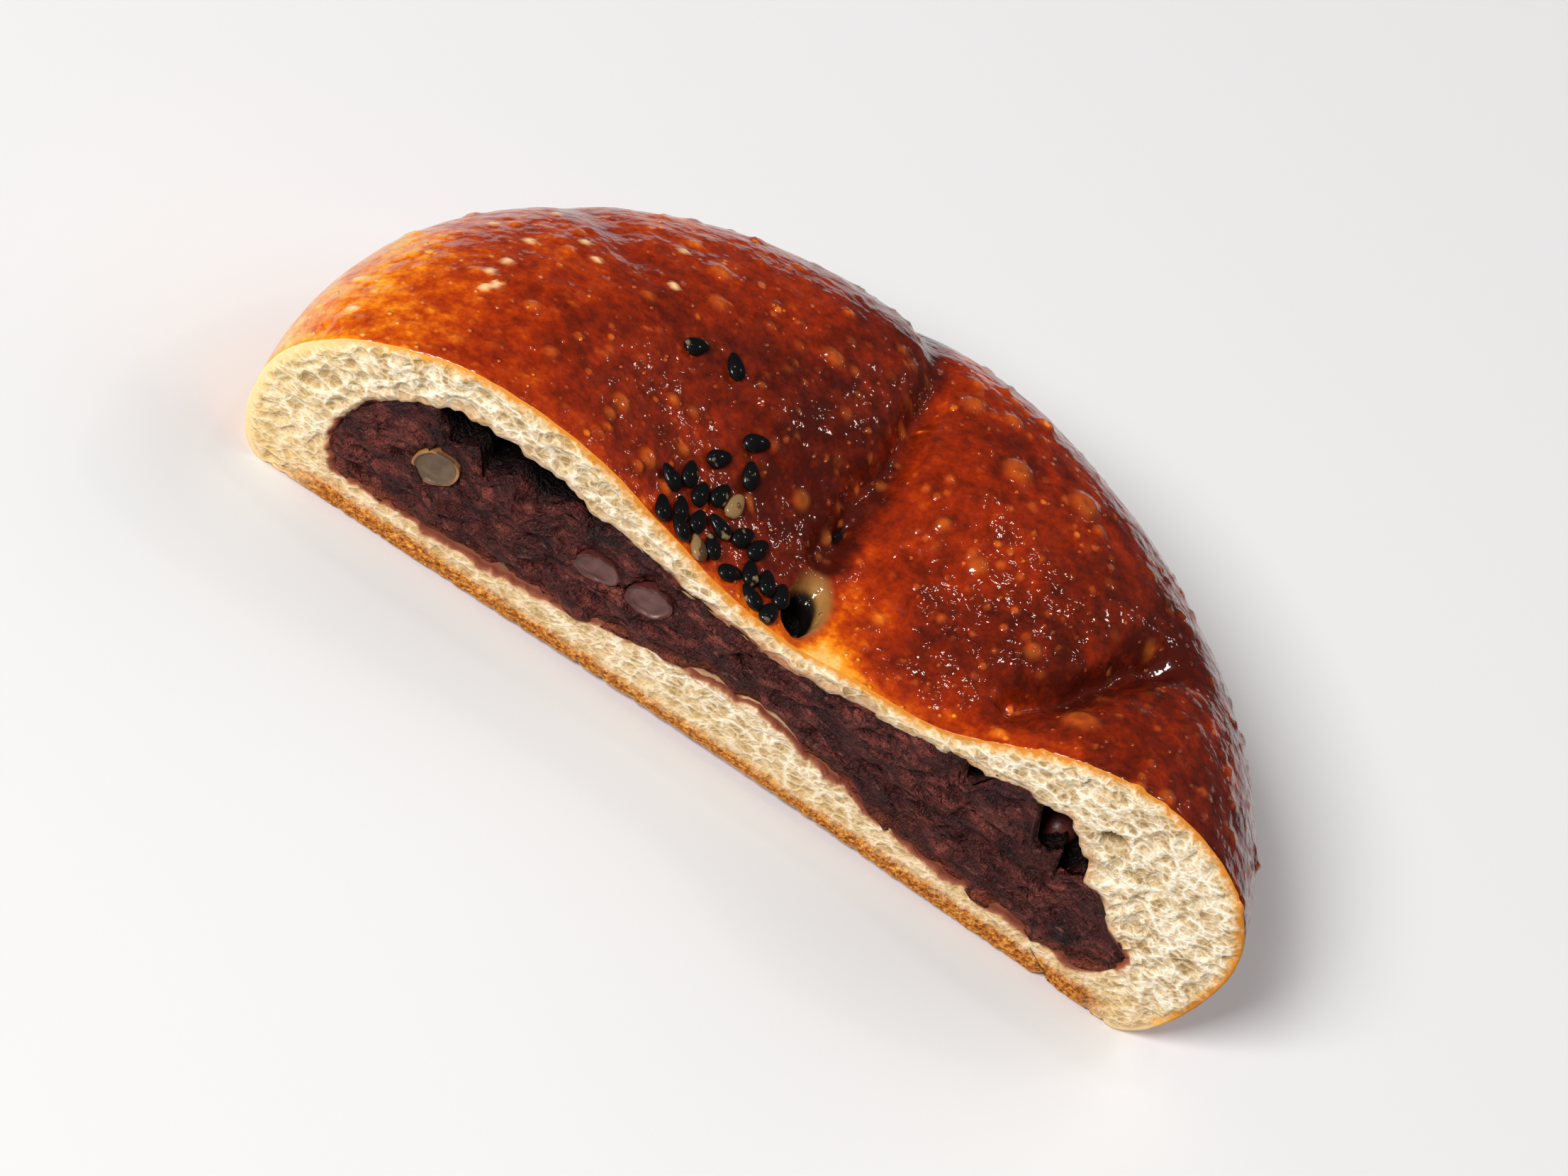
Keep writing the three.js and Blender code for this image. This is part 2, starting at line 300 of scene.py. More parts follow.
def subdivide(thing, wanted, cuts):
    bpy.context.tool_settings.mesh_select_mode = (False, True, False)
    select_edges(thing.data, wanted)
    bpy.ops.object.mode_set(mode="EDIT")
    bpy.ops.mesh.subdivide(number_cuts=cuts)
    bpy.ops.object.mode_set(mode="OBJECT")


def store(thing, name, values):
    """Keeps a value for each point of the mesh, for the material to read."""
    layer = thing.data.attributes.new(name, "FLOAT", "POINT")
    layer.data.foreach_set("value", values)


def levels_for(thing, *names):
    return {name: [0.0] * len(thing.data.vertices) for name in names}


def tree_of(points):
    tree = kdtree.KDTree(len(points))
    for i, point in enumerate(points):
        tree.insert(point, i)
    tree.balance()
    return tree


def along(profile, x):
    """The value at x on a line drawn through the points of the profile."""
    for (ax, a), (bx, b) in zip(profile, profile[1:]):
        if x <= bx:
            return a + (b - a) * min(max((x - ax) / (bx - ax), 0), 1)
    return profile[-1][1]


def is_on_cut(a, b):
    return abs(a.y) < ON_CUT and abs(b.y) < ON_CUT


def is_fine(a, b):
    """The skin is finer on the crown and side than on the base, and along the whole cut."""
    crown = all(RINGS_LOW + 3.9 < ring_of(co, RINGS) < RINGS - 3.9 for co in (a, b))
    return crown or is_on_cut(a, b)


skin = half_ball("baked_dough", RINGS, HALF_TURN_STEPS)
subdivide(skin, is_fine, 1)

# Blisters in the glaze, where bubbles lay just under the skin: place on plan, radius and height.
BIG_BLISTERS = [
    (12.4, 29.8, 1.7, 0.55), (20.1, 31.1, 1.9, 0.6), (6, 36.3, 1.2, 0.5), (10.3, 37, 1.1, 0.4),
    (13.7, 40.1, 1.1, 0.45), (13.2, 17.7, 1.0, 0.35), (21.7, 12.1, 1.0, 0.4), (7.3, 8, 0.8, 0.3),
    (8.3, 20.2, 0.8, 0.35), (28.3, 5.7, 1.7, 0.5), (38.5, 0.9, 1.0, 0.4), (-23, 32, 1.3, 0.5),
    (-22, 27, 1.1, 0.35), (-9, 30, 1.1, 0.4), (-26, 8, 1.1, 0.3), (-21, 5, 1.2, 0.35),
    (-18, 4, 0.9, 0.3), (-38, 12, 0.9, 0.35), (-5, 15, 1.1, 0.3),
]
BIG_AMBER = 0.75
# Small ones on the pale shoulder that burst and dried almost white.
BURST_BLISTERS = [
    (-42, 17.3), (-43, 14.7), (-42, 12.9), (-42.8, 12), (-36.1, 25.9), (-40.9, 22.5), (-44.4, 24.7),
    (-52.9, 10.5), (-52.3, 4.7), (-34.5, 23.6), (-39.4, 30.7), (-27, 32.7), (-26.6, 25.6),
]
BURST_RADIUS = 0.52
BURST_HEIGHT = 0.22
BURST_AMBER = 1.6  # more than 1 marks a burst one
SMALL_BLISTER_COUNT = 520
DENTED_FROM = 0.9  # radius from which a blister has fallen in at its middle

rng = random.Random(7)
blisters = [(x, y, radius, height, BIG_AMBER) for x, y, radius, height in BIG_BLISTERS]
for _ in range(SMALL_BLISTER_COUNT):
    angle = rng.uniform(0, math.pi)
    r = BUN_RADIUS * math.sqrt(rng.uniform(0.02, 1))
    radius = 0.34 + 0.5 * rng.random() ** 3
    height = 0.42 * radius * rng.uniform(0.4, 1)
    amber = rng.uniform(0.05, 1) ** 2
    blisters.append((r * math.cos(angle), OVAL * r * math.sin(angle), radius, height, amber))
blisters += [(x, y, BURST_RADIUS, BURST_HEIGHT, BURST_AMBER) for x, y in BURST_BLISTERS]
blister_tree = tree_of([(x, y, 0) for x, y, *_ in blisters])


def blister_at(x, y):
    """How far the blisters rise at a place, how golden their glaze is, and whether they are burst."""
    rise = golden = burst = 0
    for _, index, distance in blister_tree.find_n((x, y, 0), 3):
        _, _, radius, height, amber = blisters[index]
        t = distance / radius
        if t < 1.25:
            dome = smooth(1.25, 0.35, t) - 0.3 * bell(t / 0.3) * (radius > DENTED_FROM)
            rise += 1.15 * height * dome
            golden = max(golden, dome * min(amber, BIG_AMBER))
            burst = max(burst, dome * (amber > 1))
    return rise, golden, burst


# How deep the oven browned the crown, from its left end to its right end.
BROWNING = [
    (-57, 0.06),
    (-52, 0.21),
    (-47, 0.40),
    (-42, 0.55),
    (-36, 0.66),
    (-28, 0.73),
    (-20, 0.80),
    (-8, 0.90),
    (1, 0.90),
    (3.6, 0.50),
    (6, 0.61),
    (9, 0.70),
    (18, 0.78),
    (38, 0.86),
    (58, 0.88),
]
# Patches that are darker or paler than that: x, y, half width, half length and how much darker.
BROWN_PATCHES = [
    (-6, 22, 7, 10, 0.12),
    (5, 0, 4, 6, -0.14),
    (-5, 0, 9, 5, -0.30),
    (-4, 11, 4, 4, -0.16),
    (13, 6, 4, 4, 0.10),
]


def browning_and_fold_shade(x, y, z):
    """How deep the oven browned the crust at a point, from 0 to about 1, with painted shade added in the
    folds.
    """
    level = along(BROWNING, x)
    level -= 0.06 * smooth(20, 42, y) + 0.10 * smooth(20, 42, y) * smooth(10, -12, x)
    level -= 0.24 * bell(y / 2.4) * smooth(-36, -24, x) * smooth(35, 26, x)
    for cx, cy, half_width, half_length, darker in BROWN_PATCHES:
        level += darker * bell((x - cx) / half_width) * bell((y - cy) / half_length)
    # painted shade: the crust is made darker in the folds, where shade falls
    level += 0.2 * min(fold_depth(x, y) / 3, 1) * smooth(6, 12, y)
    level = min(level, 0.12 + 0.9 * smooth(1.5, 9 + 6 * smooth(0, -50, x), z))
    level += 0.14 * wobble(x, y, z, 9, 21)
    level += 0.12 * wobble(x, y, z, 2.5, 23)
    return level + 0.06 * wobble(x, y, z, 0.9, 25)


skin_turns = [v.co.copy() for v in skin.data.vertices]
skin_rings = [ring_of(turn, RINGS) for turn in skin_turns]
for v, ring in zip(skin.data.vertices, skin_rings):
    angle = math.atan2(max(v.co.y, 0), v.co.x)
    r, z = skin_outline(ring)
    x, y, z = bake(r * math.cos(angle), 0 if abs(v.co.y) < ON_CUT else r * math.sin(angle), z)
    if ring < RINGS_LOW - 0.5:
        z = tray_side(x, y, r)
    v.co = Vector((x, y, z))
skin.data.update()

# Fine shape goes along the surface's own normals, which the plain shape gives.
normals = [v.normal.copy() for v in skin.data.vertices]
levels = levels_for(skin, "browning", "blister", "dried", "unglazed", "hole")
for v, normal, ring, turn in zip(skin.data.vertices, normals, skin_rings, skin_turns):
    x, y, z = v.co
    if ring < RINGS_LOW:
        pale_rim = 0.25 * smooth(46, 52, math.hypot(x, y / OVAL))
        levels["browning"][v.index] = 0.42 + 0.1 * wobble(x, y, 0, 3, 2) - pale_rim
        continue
    on_side = smooth(4, 12, z)
    rise, golden, burst = blister_at(x, y)
    rise = rise * on_side + 0.05 * wobble(x, y, z, 1.1, 11) + 0.04 * abs(wobble(x, y, z, 2.2, 17))
    # the vent, poked down through the crown, the swollen lip behind it and the slit
    z -= 0.8 * smooth(5.6, 1.2, math.hypot(x - 1.2, (y - 5.2) / 1.3))
    sunk = vent_depth(x, y)
    z -= sunk
    z += 1.0 * bell((x - 0.4) / 2.6) * bell((y - 11.2) / 1.6)
    slit = math.hypot((x - SLIT.x) / SLIT_HALF_WIDTH, (y - SLIT.y) / SLIT_HALF_LENGTH)
    z -= SLIT_DEPTH * smooth(1.5, 0.4, slit)
    if from_vent(x, y) > 3.3 and ring > RINGS_LOW + RINGS_SIDE:
        # the crown stays clear of the pocket under it
        lowest = roof_height(math.hypot(x, y / OVAL)) + THINNEST_CROWN
        z = lowest + max(z - lowest, 0.25 * (z - lowest))
    v.co = Vector((x, y, z)) + rise * normal
    v.co.z = max(v.co.z, 0)
    if abs(turn.y) < ON_CUT:
        v.co.y = 0
    # the browning level also carries the painted shade of the folds
    levels["browning"][v.index] = browning_and_fold_shade(x, y, z) - 0.28 * golden * on_side
    levels["blister"][v.index] = golden * on_side
    levels["dried"][v.index] = burst
    unglazed = smooth(FUNNEL_RADIUS + 0.7, FUNNEL_RADIUS - 0.6, from_vent(x, y, FUNNEL))
    levels["unglazed"][v.index] = unglazed * smooth(-2.4, 0.6, x)
    # painted shade: the deep part of the vent and the slit is marked to be coloured near black, for the
    # dark inside of the holes
    levels["hole"][v.index] = min(smooth(0.75, 1.35, sunk) + smooth(1.1, 0.6, slit), 1)
for name, values in levels.items():
    store(skin, name, values)
store(skin, "skin", [1.0] * len(skin.data.vertices))

# The pocket's wall is rough, as torn crumb is.
pocket = half_ball("pocket", POCKET_RINGS, POCKET_STEPS)
subdivide(pocket, is_on_cut, 2)
pocket_turns = [v.co.copy() for v in pocket.data.vertices]
for v in pocket.data.vertices:
    r, z = pocket_outline(ring_of(v.co, POCKET_RINGS))
    angle = math.atan2(max(v.co.y, 0), v.co.x)
    x = r * math.cos(angle)
    y = 0 if abs(v.co.y) < ON_CUT else r * math.sin(angle)
    rough = 0.7 * wobble(x, y, z, 2.6, 31) + 0.5 * wobble(x, y, z, 0.9, 33)
    if z > 12:
        z -= roof_drop(x, y)
    z = sag(x, z)
    away = Vector((x / 8, z - 12)).normalized()
    x += 0.6 * rough * away.x
    z += rough * away.y
    v.co = Vector((x - SKEW * y, OVAL * y, z))

skin_tree = tree_of([v.co.copy() for v in skin.data.vertices if abs(v.co.y) < ON_CUT])
pocket_tree = tree_of([v.co.copy() for v in pocket.data.vertices if abs(v.co.y) < ON_CUT])

# The cut face joins the two. While it is made, their edges are laid out as plain circles, one before the
# other, and every point carries the place it goes to.
for thing, turns, ahead in ((skin, skin_turns, 0), (pocket, pocket_turns, 1)):
    places = thing.data.attributes.new("place", "FLOAT_VECTOR", "POINT")
    for v, turn in zip(thing.data.vertices, turns):
        places.data[v.index].vector = v.co
        if abs(v.co.y) < ON_CUT:
            v.co = turn.normalized() + Vector((0, ahead, 0))
bpy.ops.object.select_all(action="DESELECT")
skin.select_set(True)
pocket.select_set(True)
bpy.context.view_layer.objects.active = skin
bpy.ops.object.join()
dough = bpy.context.object
bpy.context.tool_settings.mesh_select_mode = (False, True, False)
places = dough.data.attributes["place"].data
edge_points = {v.index for v in dough.data.vertices if abs(places[v.index].vector.y) < ON_CUT}
select_edges(dough.data, lambda a, b: False)
for edge in dough.data.edges:
    edge.select = all(i in edge_points for i in edge.vertices)
bpy.ops.object.mode_set(mode="EDIT")
bpy.ops.mesh.bridge_edge_loops(number_cuts=CRUMB_ROWS, interpolation="LINEAR")
bpy.ops.object.mode_set(mode="OBJECT")
for v, place in zip(dough.data.vertices, dough.data.attributes["place"].data):
    v.co = place.vector
bpy.ops.object.mode_set(mode="EDIT")
bpy.ops.mesh.select_all(action="SELECT")
bpy.ops.mesh.normals_make_consistent(inside=False)
bpy.ops.object.mode_set(mode="OBJECT")


def pore(x, z, width, height, wall, seed, share):
    """Depth from 0 to 1 of the pore at a point. Only a share of the pores are open, with walls between."""
    distances, points = noise.voronoi(Vector((x / width, seed, z / height)))
    if noise.cell(points[0] * 9.7) > share:
        return 0
    return smooth(0, wall, distances[1] - distances[0])


def crumb_depth(x, z):
    """How far behind the cut the crumb lies: pores, fewer in the low band, and the one large bubble."""
    right = smooth(20, 36, x)
    low_band = smooth(9, 6, z) * smooth(52, 44, abs(x))
    lying = 1 - 0.6 * smooth(38, 50, abs(x))
    bent_x = x + 0.5 * wobble(x, 0, z, 2.2, 41)
    bent_z = z + 0.5 * wobble(x, 0, z, 2.2, 43)
    deep = 0.5 * pore(bent_x, bent_z, 2.2 + 1.8 * lying, 1.9, 0.4, 1, 0.3 + 0.2 * right)
    deep *= 1 - 0.8 * low_band
    deep += 0.1 * wobble(x, 0, z, 1.8, 45)
    from_bubble = math.hypot((x - BUBBLE.x) / BUBBLE_HALF_WIDTH, (z - BUBBLE.y) / BUBBLE_HALF_HEIGHT)
    return deep + BUBBLE_DEPTH * smooth(1.0, 0.5, from_bubble)


def soaked_at(x, z, from_pocket):
    """How much sugar the crumb took from the filling: in the roof's middle, and all along under it."""
    roof = 0.55 * smooth(1.6, 0.4, from_pocket) * bell((x + 2) / 17) * smooth(9, 13, z)
    reach = 1.1 + 0.9 * wobble(x, 0, 0, 3.2, 99) + 0.5 * wobble(x, 0, z, 0.8, 98)
    return roof + 0.9 * smooth(reach, 0.05, from_pocket) * smooth(12.5, 10, z)


# Faces on the cut and in the pocket are crumb, the others are crust.
on_skin = [v.value > 0.5 for v in dough.data.attributes["skin"].data]
face_material = []
for face in dough.data.polygons:
    is_cut = all(abs(dough.data.vertices[i].co.y) < ON_CUT for i in face.vertices)
    face_material.append(0 if all(on_skin[i] for i in face.vertices) and not is_cut else 1)

# The cut is open crumb: each point on it is pushed in or out. It keeps how far it is from the crust and the
# filling, in mm, and how open, browned or soaked it is, for the material.
levels = levels_for(dough, "from_crust", "from_filling", "edge_browning", "within")
levels |= levels_for(dough, "open_crumb", "pore", "on_base", "soaked")
for v in dough.data.vertices:
    x, y, z = v.co
    if not on_skin[v.index]:
        # painted shade: the pocket's walls behind the cut are marked to be coloured dark
        levels["within"][v.index] = smooth(0.1, 1.2, y)
    if abs(y) > ON_CUT:
        continue
    _, _, from_skin = skin_tree.find(v.co)
    _, _, from_pocket = pocket_tree.find(v.co)
    levels["from_crust"][v.index] = from_skin
    levels["from_filling"][v.index] = from_pocket
    levels["edge_browning"][v.index] = along(BROWNING, x) * smooth(1, 9, z)
    if from_skin < 0.02:
        continue
    open_crumb = smooth(0.15, 1.2, from_skin) * smooth(-0.2, 0.8, from_pocket)
    deep = crumb_depth(x, z)
    v.co.y += open_crumb * (deep - STANDS_PROUD)
    levels["open_crumb"][v.index] = open_crumb
    # the depth of an open pore, kept for the painted shade in it
    levels["pore"][v.index] = min(open_crumb * deep, 1.5)
    levels["on_base"][v.index] = smooth(5, 4, z) * smooth(51, 46, x) * smooth(-50, -44, x)
    levels["soaked"][v.index] = soaked_at(x, z, from_pocket)
for name, values in levels.items():
    store(dough, name, values)
# From millimetres about the middle of the whole bun to its place.
for v in dough.data.vertices:
    v.co = Vector((v.co.x * mm, cut_y + v.co.y * mm, v.co.z * mm))
bpy.ops.object.select_all(action="DESELECT")
dough.data.polygons.foreach_set("use_smooth", [True] * len(dough.data.polygons))


def node(material, kind, inputs=(), **settings):
    """Adds a node. An input given as another node's socket is linked to it, anything else is set."""
    made = material.node_tree.nodes.new(kind)
    for name, value in settings.items():
        setattr(made, name, value)
    for key, value in dict(inputs).items():
        if isinstance(value, bpy.types.NodeSocket):
            material.node_tree.links.new(value, made.inputs[key])
        else:
            made.inputs[key].default_value = value
    return made


def attribute(material, name):
    return node(material, "ShaderNodeAttribute", attribute_name=name).outputs["Fac"]


def maths(material, operation, a, b, clamp=False):
    return node(material, "ShaderNodeMath", {0: a, 1: b}, operation=operation, use_clamp=clamp).outputs[0]


def plus(material, a, b):
    return maths(material, "ADD", a, b)


def times(material, a, b):
    return maths(material, "MULTIPLY", a, b)


def remap(material, value, zero_at, one_at, **settings):
    """From 0 where the value is zero_at to 1 where it is one_at, and held beyond them."""
    inputs = {"Value": value, "From Min": zero_at, "From Max": one_at}
    return node(material, "ShaderNodeMapRange", inputs, **settings).outputs["Result"]


def ramp(material, factor, stops):
    """A colour for each level, as (level, (red, green, blue))."""
    made = node(material, "ShaderNodeValToRGB", {"Fac": factor})
    for i, (level, colour) in enumerate(stops):
        stop = made.color_ramp.elements[i] if i < 2 else made.color_ramp.elements.new(level)
        stop.position = level
        stop.color = (*colour, 1)
    return made.outputs["Color"]


def blend(material, factor, a, b):
    """Colour a where the factor is 0, b where it is 1."""
    made = node(material, "ShaderNodeMix", {0: factor}, data_type="RGBA")
    for socket, value in ((6, a), (7, b)):
        if isinstance(value, bpy.types.NodeSocket):
            material.node_tree.links.new(value, made.inputs[socket])
        else:
            made.inputs[socket].default_value = (*value, 1)
    return made.outputs[2]


def grain(material, size, detail=2.0, roughness=0.5, stretch=(1, 1, 1)):
    """Soft noise whose features are about size across, in metres."""
    place = node(material, "ShaderNodeTexCoord").outputs["Object"]
    place = node(material, "ShaderNodeMapping", {"Vector": place, "Scale": stretch}).outputs["Vector"]
    inputs = {"Vector": place, "Scale": 1 / size, "Detail": detail, "Roughness": roughness}
    return node(material, "ShaderNodeTexNoise", inputs).outputs["Fac"]


def ragged(material, size, reach, detail=4.0, roughness=0.5):
    """Noise about 0, which makes an edge wander to either side."""
    centred = maths(material, "SUBTRACT", grain(material, size, detail, roughness), 0.5)
    return times(material, centred, reach)


def cells(material, size, feature="F1", stretch=(1, 1, 1), bent=0):
    """A cell pattern. Its walls are bent by about the given length."""
    place = node(material, "ShaderNodeTexCoord").outputs["Object"]
    if bent:
        turns = node(material, "ShaderNodeTexNoise", {"Vector": place, "Scale": 0.9 / size, "Detail": 3.0})
        turns = {0: turns.outputs["Color"], 1: (bent, bent, bent)}
        turns = node(material, "ShaderNodeVectorMath", turns, operation="MULTIPLY").outputs["Vector"]
        place = node(material, "ShaderNodeVectorMath", {0: place, 1: turns}).outputs["Vector"]
    place = node(material, "ShaderNodeMapping", {"Vector": place, "Scale": stretch}).outputs["Vector"]
    return node(material, "ShaderNodeTexVoronoi", {"Vector": place, "Scale": 1 / size}, feature=feature)


def bump(material, height, depth, normal=None):
    inputs = {"Height": height, "Distance": depth, "Strength": 1.0}
    if normal is not None:
        inputs["Normal"] = normal
    return node(material, "ShaderNodeBump", inputs).outputs["Normal"]


def principled(name, **fixed):
    """A new material and its shader, with the values that are the same all over set on the shader."""
    material = bpy.data.materials.new(name)
    material.use_nodes = True
    shader = material.node_tree.nodes["Principled BSDF"]
    for key, value in fixed.items():
        shader.inputs[key.replace("_", " ")].default_value = value
    return material, shader


def wire(material, shader, **links):
    for key, socket in links.items():
        material.node_tree.links.new(socket, shader.inputs[key.replace("_", " ")])


def tiny_bubbles(m):
    """Domes from 0 to 1 for the bubbles in the glaze that are too small for the mesh."""
    domes = 0.0
    for size, radius in ((2.3, 0.26), (1.2, 0.26)):
        bubble = cells(m, size * mm)
        picked = node(m, "ShaderNodeSeparateColor", {"Color": bubble.outputs["Color"]}).outputs["Red"]
        picked = remap(m, picked, 0.55, 0.95)
        dome = bubble.outputs["Distance"]
        dome = remap(m, dome, radius, 0.4 * radius, interpolation_type="SMOOTHSTEP")
        domes = maths(m, "MAXIMUM", times(m, dome, picked), domes)
    return domes


def glazed_crust():
    """Egg glaze: glossy, mottled and a little uneven, from pale gold to dark brown."""
    m, shader = principled("glazed_crust", Coat_Weight=0.7, Coat_Roughness=0.04, Specular_IOR_Level=0.06)
    domes = tiny_bubbles(m)
    level = plus(m, attribute(m, "browning"), ragged(m, 4.5 * mm, 0.3, 2))
    level = plus(m, level, ragged(m, 1.4 * mm, 0.55, 4, 0.6))
    level = plus(m, level, ragged(m, 0.5 * mm, 0.30, 3, 0.6))
    level = maths(m, "SUBTRACT", level, times(m, domes, 0.3))
    stops = [
        (0.0, (0.94, 0.54, 0.15)),
        (0.10, (0.93, 0.39, 0.035)),
        (0.22, (0.86, 0.235, 0.008)),
        (0.34, (0.64, 0.105, 0.003)),
        (0.48, (0.43, 0.041, 0.002)),
        (0.64, (0.27, 0.019, 0.002)),
        (0.80, (0.145, 0.011, 0.002)),
        (1.0, (0.055, 0.005, 0.002)),
    ]
    colour = ramp(m, level, stops)
    colour = blend(m, times(m, attribute(m, "blister"), 0.32), colour, (0.66, 0.21, 0.03))
    colour = blend(m, times(m, domes, 0.15), colour, (0.74, 0.28, 0.05))
    colour = blend(m, attribute(m, "unglazed"), colour, (0.34, 0.165, 0.045))
    colour = blend(m, times(m, attribute(m, "dried"), 0.85), colour, (0.95, 0.72, 0.36))
    # painted shade: near black in the deep part of the vent and the slit
    colour = blend(m, attribute(m, "hole"), colour, (0.004, 0.002, 0.002))
    shape = bump(m, domes, 0.2 * mm)
    shape = bump(m, grain(m, 2.2 * mm, 1.5, 0.5), 0.37 * mm, shape)
    shape = bump(m, grain(m, 0.7 * mm, 1, 0.5), 0.07 * mm, shape)
    rough = plus(m, 0.26, times(m, grain(m, 2.2 * mm, 3), 0.2))
    rough = plus(m, rough, times(m, attribute(m, "unglazed"), 0.3))
    wire(m, shader, Base_Color=colour, Roughness=rough, Normal=shape, Coat_Normal=shape)
    return m


def crumb_web(m):
    """The walls between the crumb's cells, in three sizes, from 0 in a cell to 1 on a wall."""
    walls = 0.0
    for size, share in ((2.5, 0.38), (1.3, 0.38), (0.65, 0.24)):
        gap = cells(m, size * mm, "DISTANCE_TO_EDGE", (0.75, 1, 1.15), 0.7 * size * mm)
        wall = remap(m, gap.outputs["Distance"], 0.22, 0.02, interpolation_type="SMOOTHSTEP")
        walls = plus(m, times(m, wall, share), walls)
    return walls


def with_crust_edge(m, colour):
    """The crust seen from its edge: a baked line, and a glow where it browned the crumb inside it."""
    browning = attribute(m, "edge_browning")
    depth = plus(m, attribute(m, "from_crust"), ragged(m, 0.8 * mm, 2.4, 4, 0.6))
    glow = times(m, remap(m, depth, 1.7, 0.4), plus(m, 0.15, times(m, browning, 0.55)))
    colour = blend(m, glow, colour, (0.86, 0.50, 0.14))
    stops = [(0.1, (0.88, 0.64, 0.34)), (0.35, (0.80, 0.37, 0.06)), (0.75, (0.62, 0.23, 0.02))]
    return blend(m, remap(m, depth, 1.0, 0.3), colour, ramp(m, browning, stops))


def with_stain(m, colour):
    """The stain that the filling leaves, dark where the crumb is soaked."""
    near = plus(m, attribute(m, "from_filling"), ragged(m, 1.1 * mm, 1.6))
    stain = times(m, remap(m, near, 1.4, 0.0), 0.4)
    stain = maths(m, "MAXIMUM", stain, attribute(m, "soaked"))
    stops = [(0.2, (0.62, 0.36, 0.17)), (0.55, (0.36, 0.125, 0.055)), (0.9, (0.17, 0.036, 0.018))]
    return blend(m, remap(m, stain, 0.0, 0.6), colour, ramp(m, stain, stops))


def crumb():
    """Soft and matt, and light goes a little way into it."""
    m, shader = principled(
        "crumb",
        Roughness=0.7,
        Subsurface_Weight=0.5,
        Subsurface_Radius=(1.0, 0.7, 0.4),
        Subsurface_Scale=0.6 * mm,
        Specular_IOR_Level=0.2,
    )
    place = node(m, "ShaderNodeTexCoord").outputs["Object"]
    place = node(m, "ShaderNodeSeparateXYZ", {"Vector": place})
    across = place.outputs["X"]
    height = place.outputs["Z"]
    speck = grain(m, 0.5 * mm, 4, 0.65)
    walls = crumb_web(m)
    stops = [
        (0.0, (0.29, 0.175, 0.065)),
        (0.2, (0.50, 0.35, 0.175)),
        (0.5, (0.72, 0.565, 0.36)),
        (0.85, (0.94, 0.86, 0.70)),
    ]
    # painted shade: the cells of the web are coloured darker than the walls between them, for the shade in
    # the pores
    colour = ramp(m, walls, stops)
    colour = blend(m, times(m, speck, 0.2), colour, (0.74, 0.58, 0.38))
    colour = blend(m, times(m, remap(m, height, 8 * mm, 3 * mm), 0.45), colour, (0.76, 0.50, 0.20))
    colour = blend(m, times(m, remap(m, across, -45 * mm, -56 * mm), 0.5), colour, (0.84, 0.60, 0.24))
    # painted shade: the deeper an open pore, the darker it is coloured
    pore_shade = maths(m, "MULTIPLY", attribute(m, "pore"), 0.6, clamp=True)
    colour = blend(m, pore_shade, colour, (0.40, 0.27, 0.11))
    colour = with_crust_edge(m, colour)
    # the base, baked granular on the tray
    grit = grain(m, 0.45 * mm, 3, 0.7)
    base = remap(m, plus(m, height, ragged(m, 1.0 * mm, 1.8 * mm, 4, 0.6)), 3.4 * mm, 2.2 * mm)
    base = times(m, base, attribute(m, "on_base"))
    stops = [(0.36, (0.20, 0.042, 0.003)), (0.5, (0.56, 0.17, 0.012)), (0.66, (0.90, 0.46, 0.10))]
    colour = blend(m, base, colour, ramp(m, grit, stops))
    colour = with_stain(m, colour)
    # painted shade on the pocket's walls behind the cut
    colour = blend(m, attribute(m, "within"), colour, (0.07, 0.028, 0.022))
    torn = times(m, plus(m, walls, times(m, speck, 0.35)), attribute(m, "open_crumb"))
    shape = bump(m, times(m, grit, base), 0.4 * mm, bump(m, torn, 0.24 * mm))
    wire(m, shader, Base_Color=colour, Normal=shape)
    return m


dough.data.materials.clear()
dough.data.materials.append(glazed_crust())
dough.data.materials.append(crumb())
dough.data.polygons.foreach_set("material_index", face_material)
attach(dough, "root")
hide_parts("dough")

# ---- Bean paste ----
# Azuki beans boiled with sugar and mashed coarse, packed as one lump before the dough was closed over it.
# The knife smeared it along the cut. Steam lifted the roof off it in two places, where its lumpy top shows.
PASTE_COLUMNS = 300
PASTE_ROWS = 40
PASTE_LAYERS = 14
AIR_SPACES = [  # where the roof stands clear on the cut: place, half width and height
    (-36.5, 3.6, 4.6),
    (-32.8, 2.4, 6.8),
    (-27.5, 4.6, 5.0),
    (-22, 2.6, 2.4),
    (23.4, 1.5, 4.0),
    (32.8, 2.1, 7.0),
    (36.2, 1.8, 5.2),
]
HOLLOWS = [  # where the cut beans lie: x, z, half width and half height
    (-37, 12, 2.4, 2.4),
    (-18.6, 12.8, 2.5, 1.7),
    (-12.6, 13, 2.5, 2.0),
]
HOLLOW_DEPTH = 1.4
PROUDEST = 0.9  # about as far as the smeared paste stands out of the cut


def lumps(x, y, z, size, seed):
    """Rounded lumps with creases between them, from 0 to about 1."""
    distances, _ = noise.voronoi(Vector((x / size + seed, y / size, z / size)))
    return 1 - min(distances[0], 1) ** 1.5


def clear_of_roof(r, side):
    """How far the paste stays below the roof, at a radius on the left (side -1) or the right (side 1)."""
    height = 0
    for place, width, amount in AIR_SPACES:
        share = smooth(-0.5, 0.5, side if place > 0 else -side)
        height = max(height, amount * share * bell((r - abs(place)) / width))
    return height


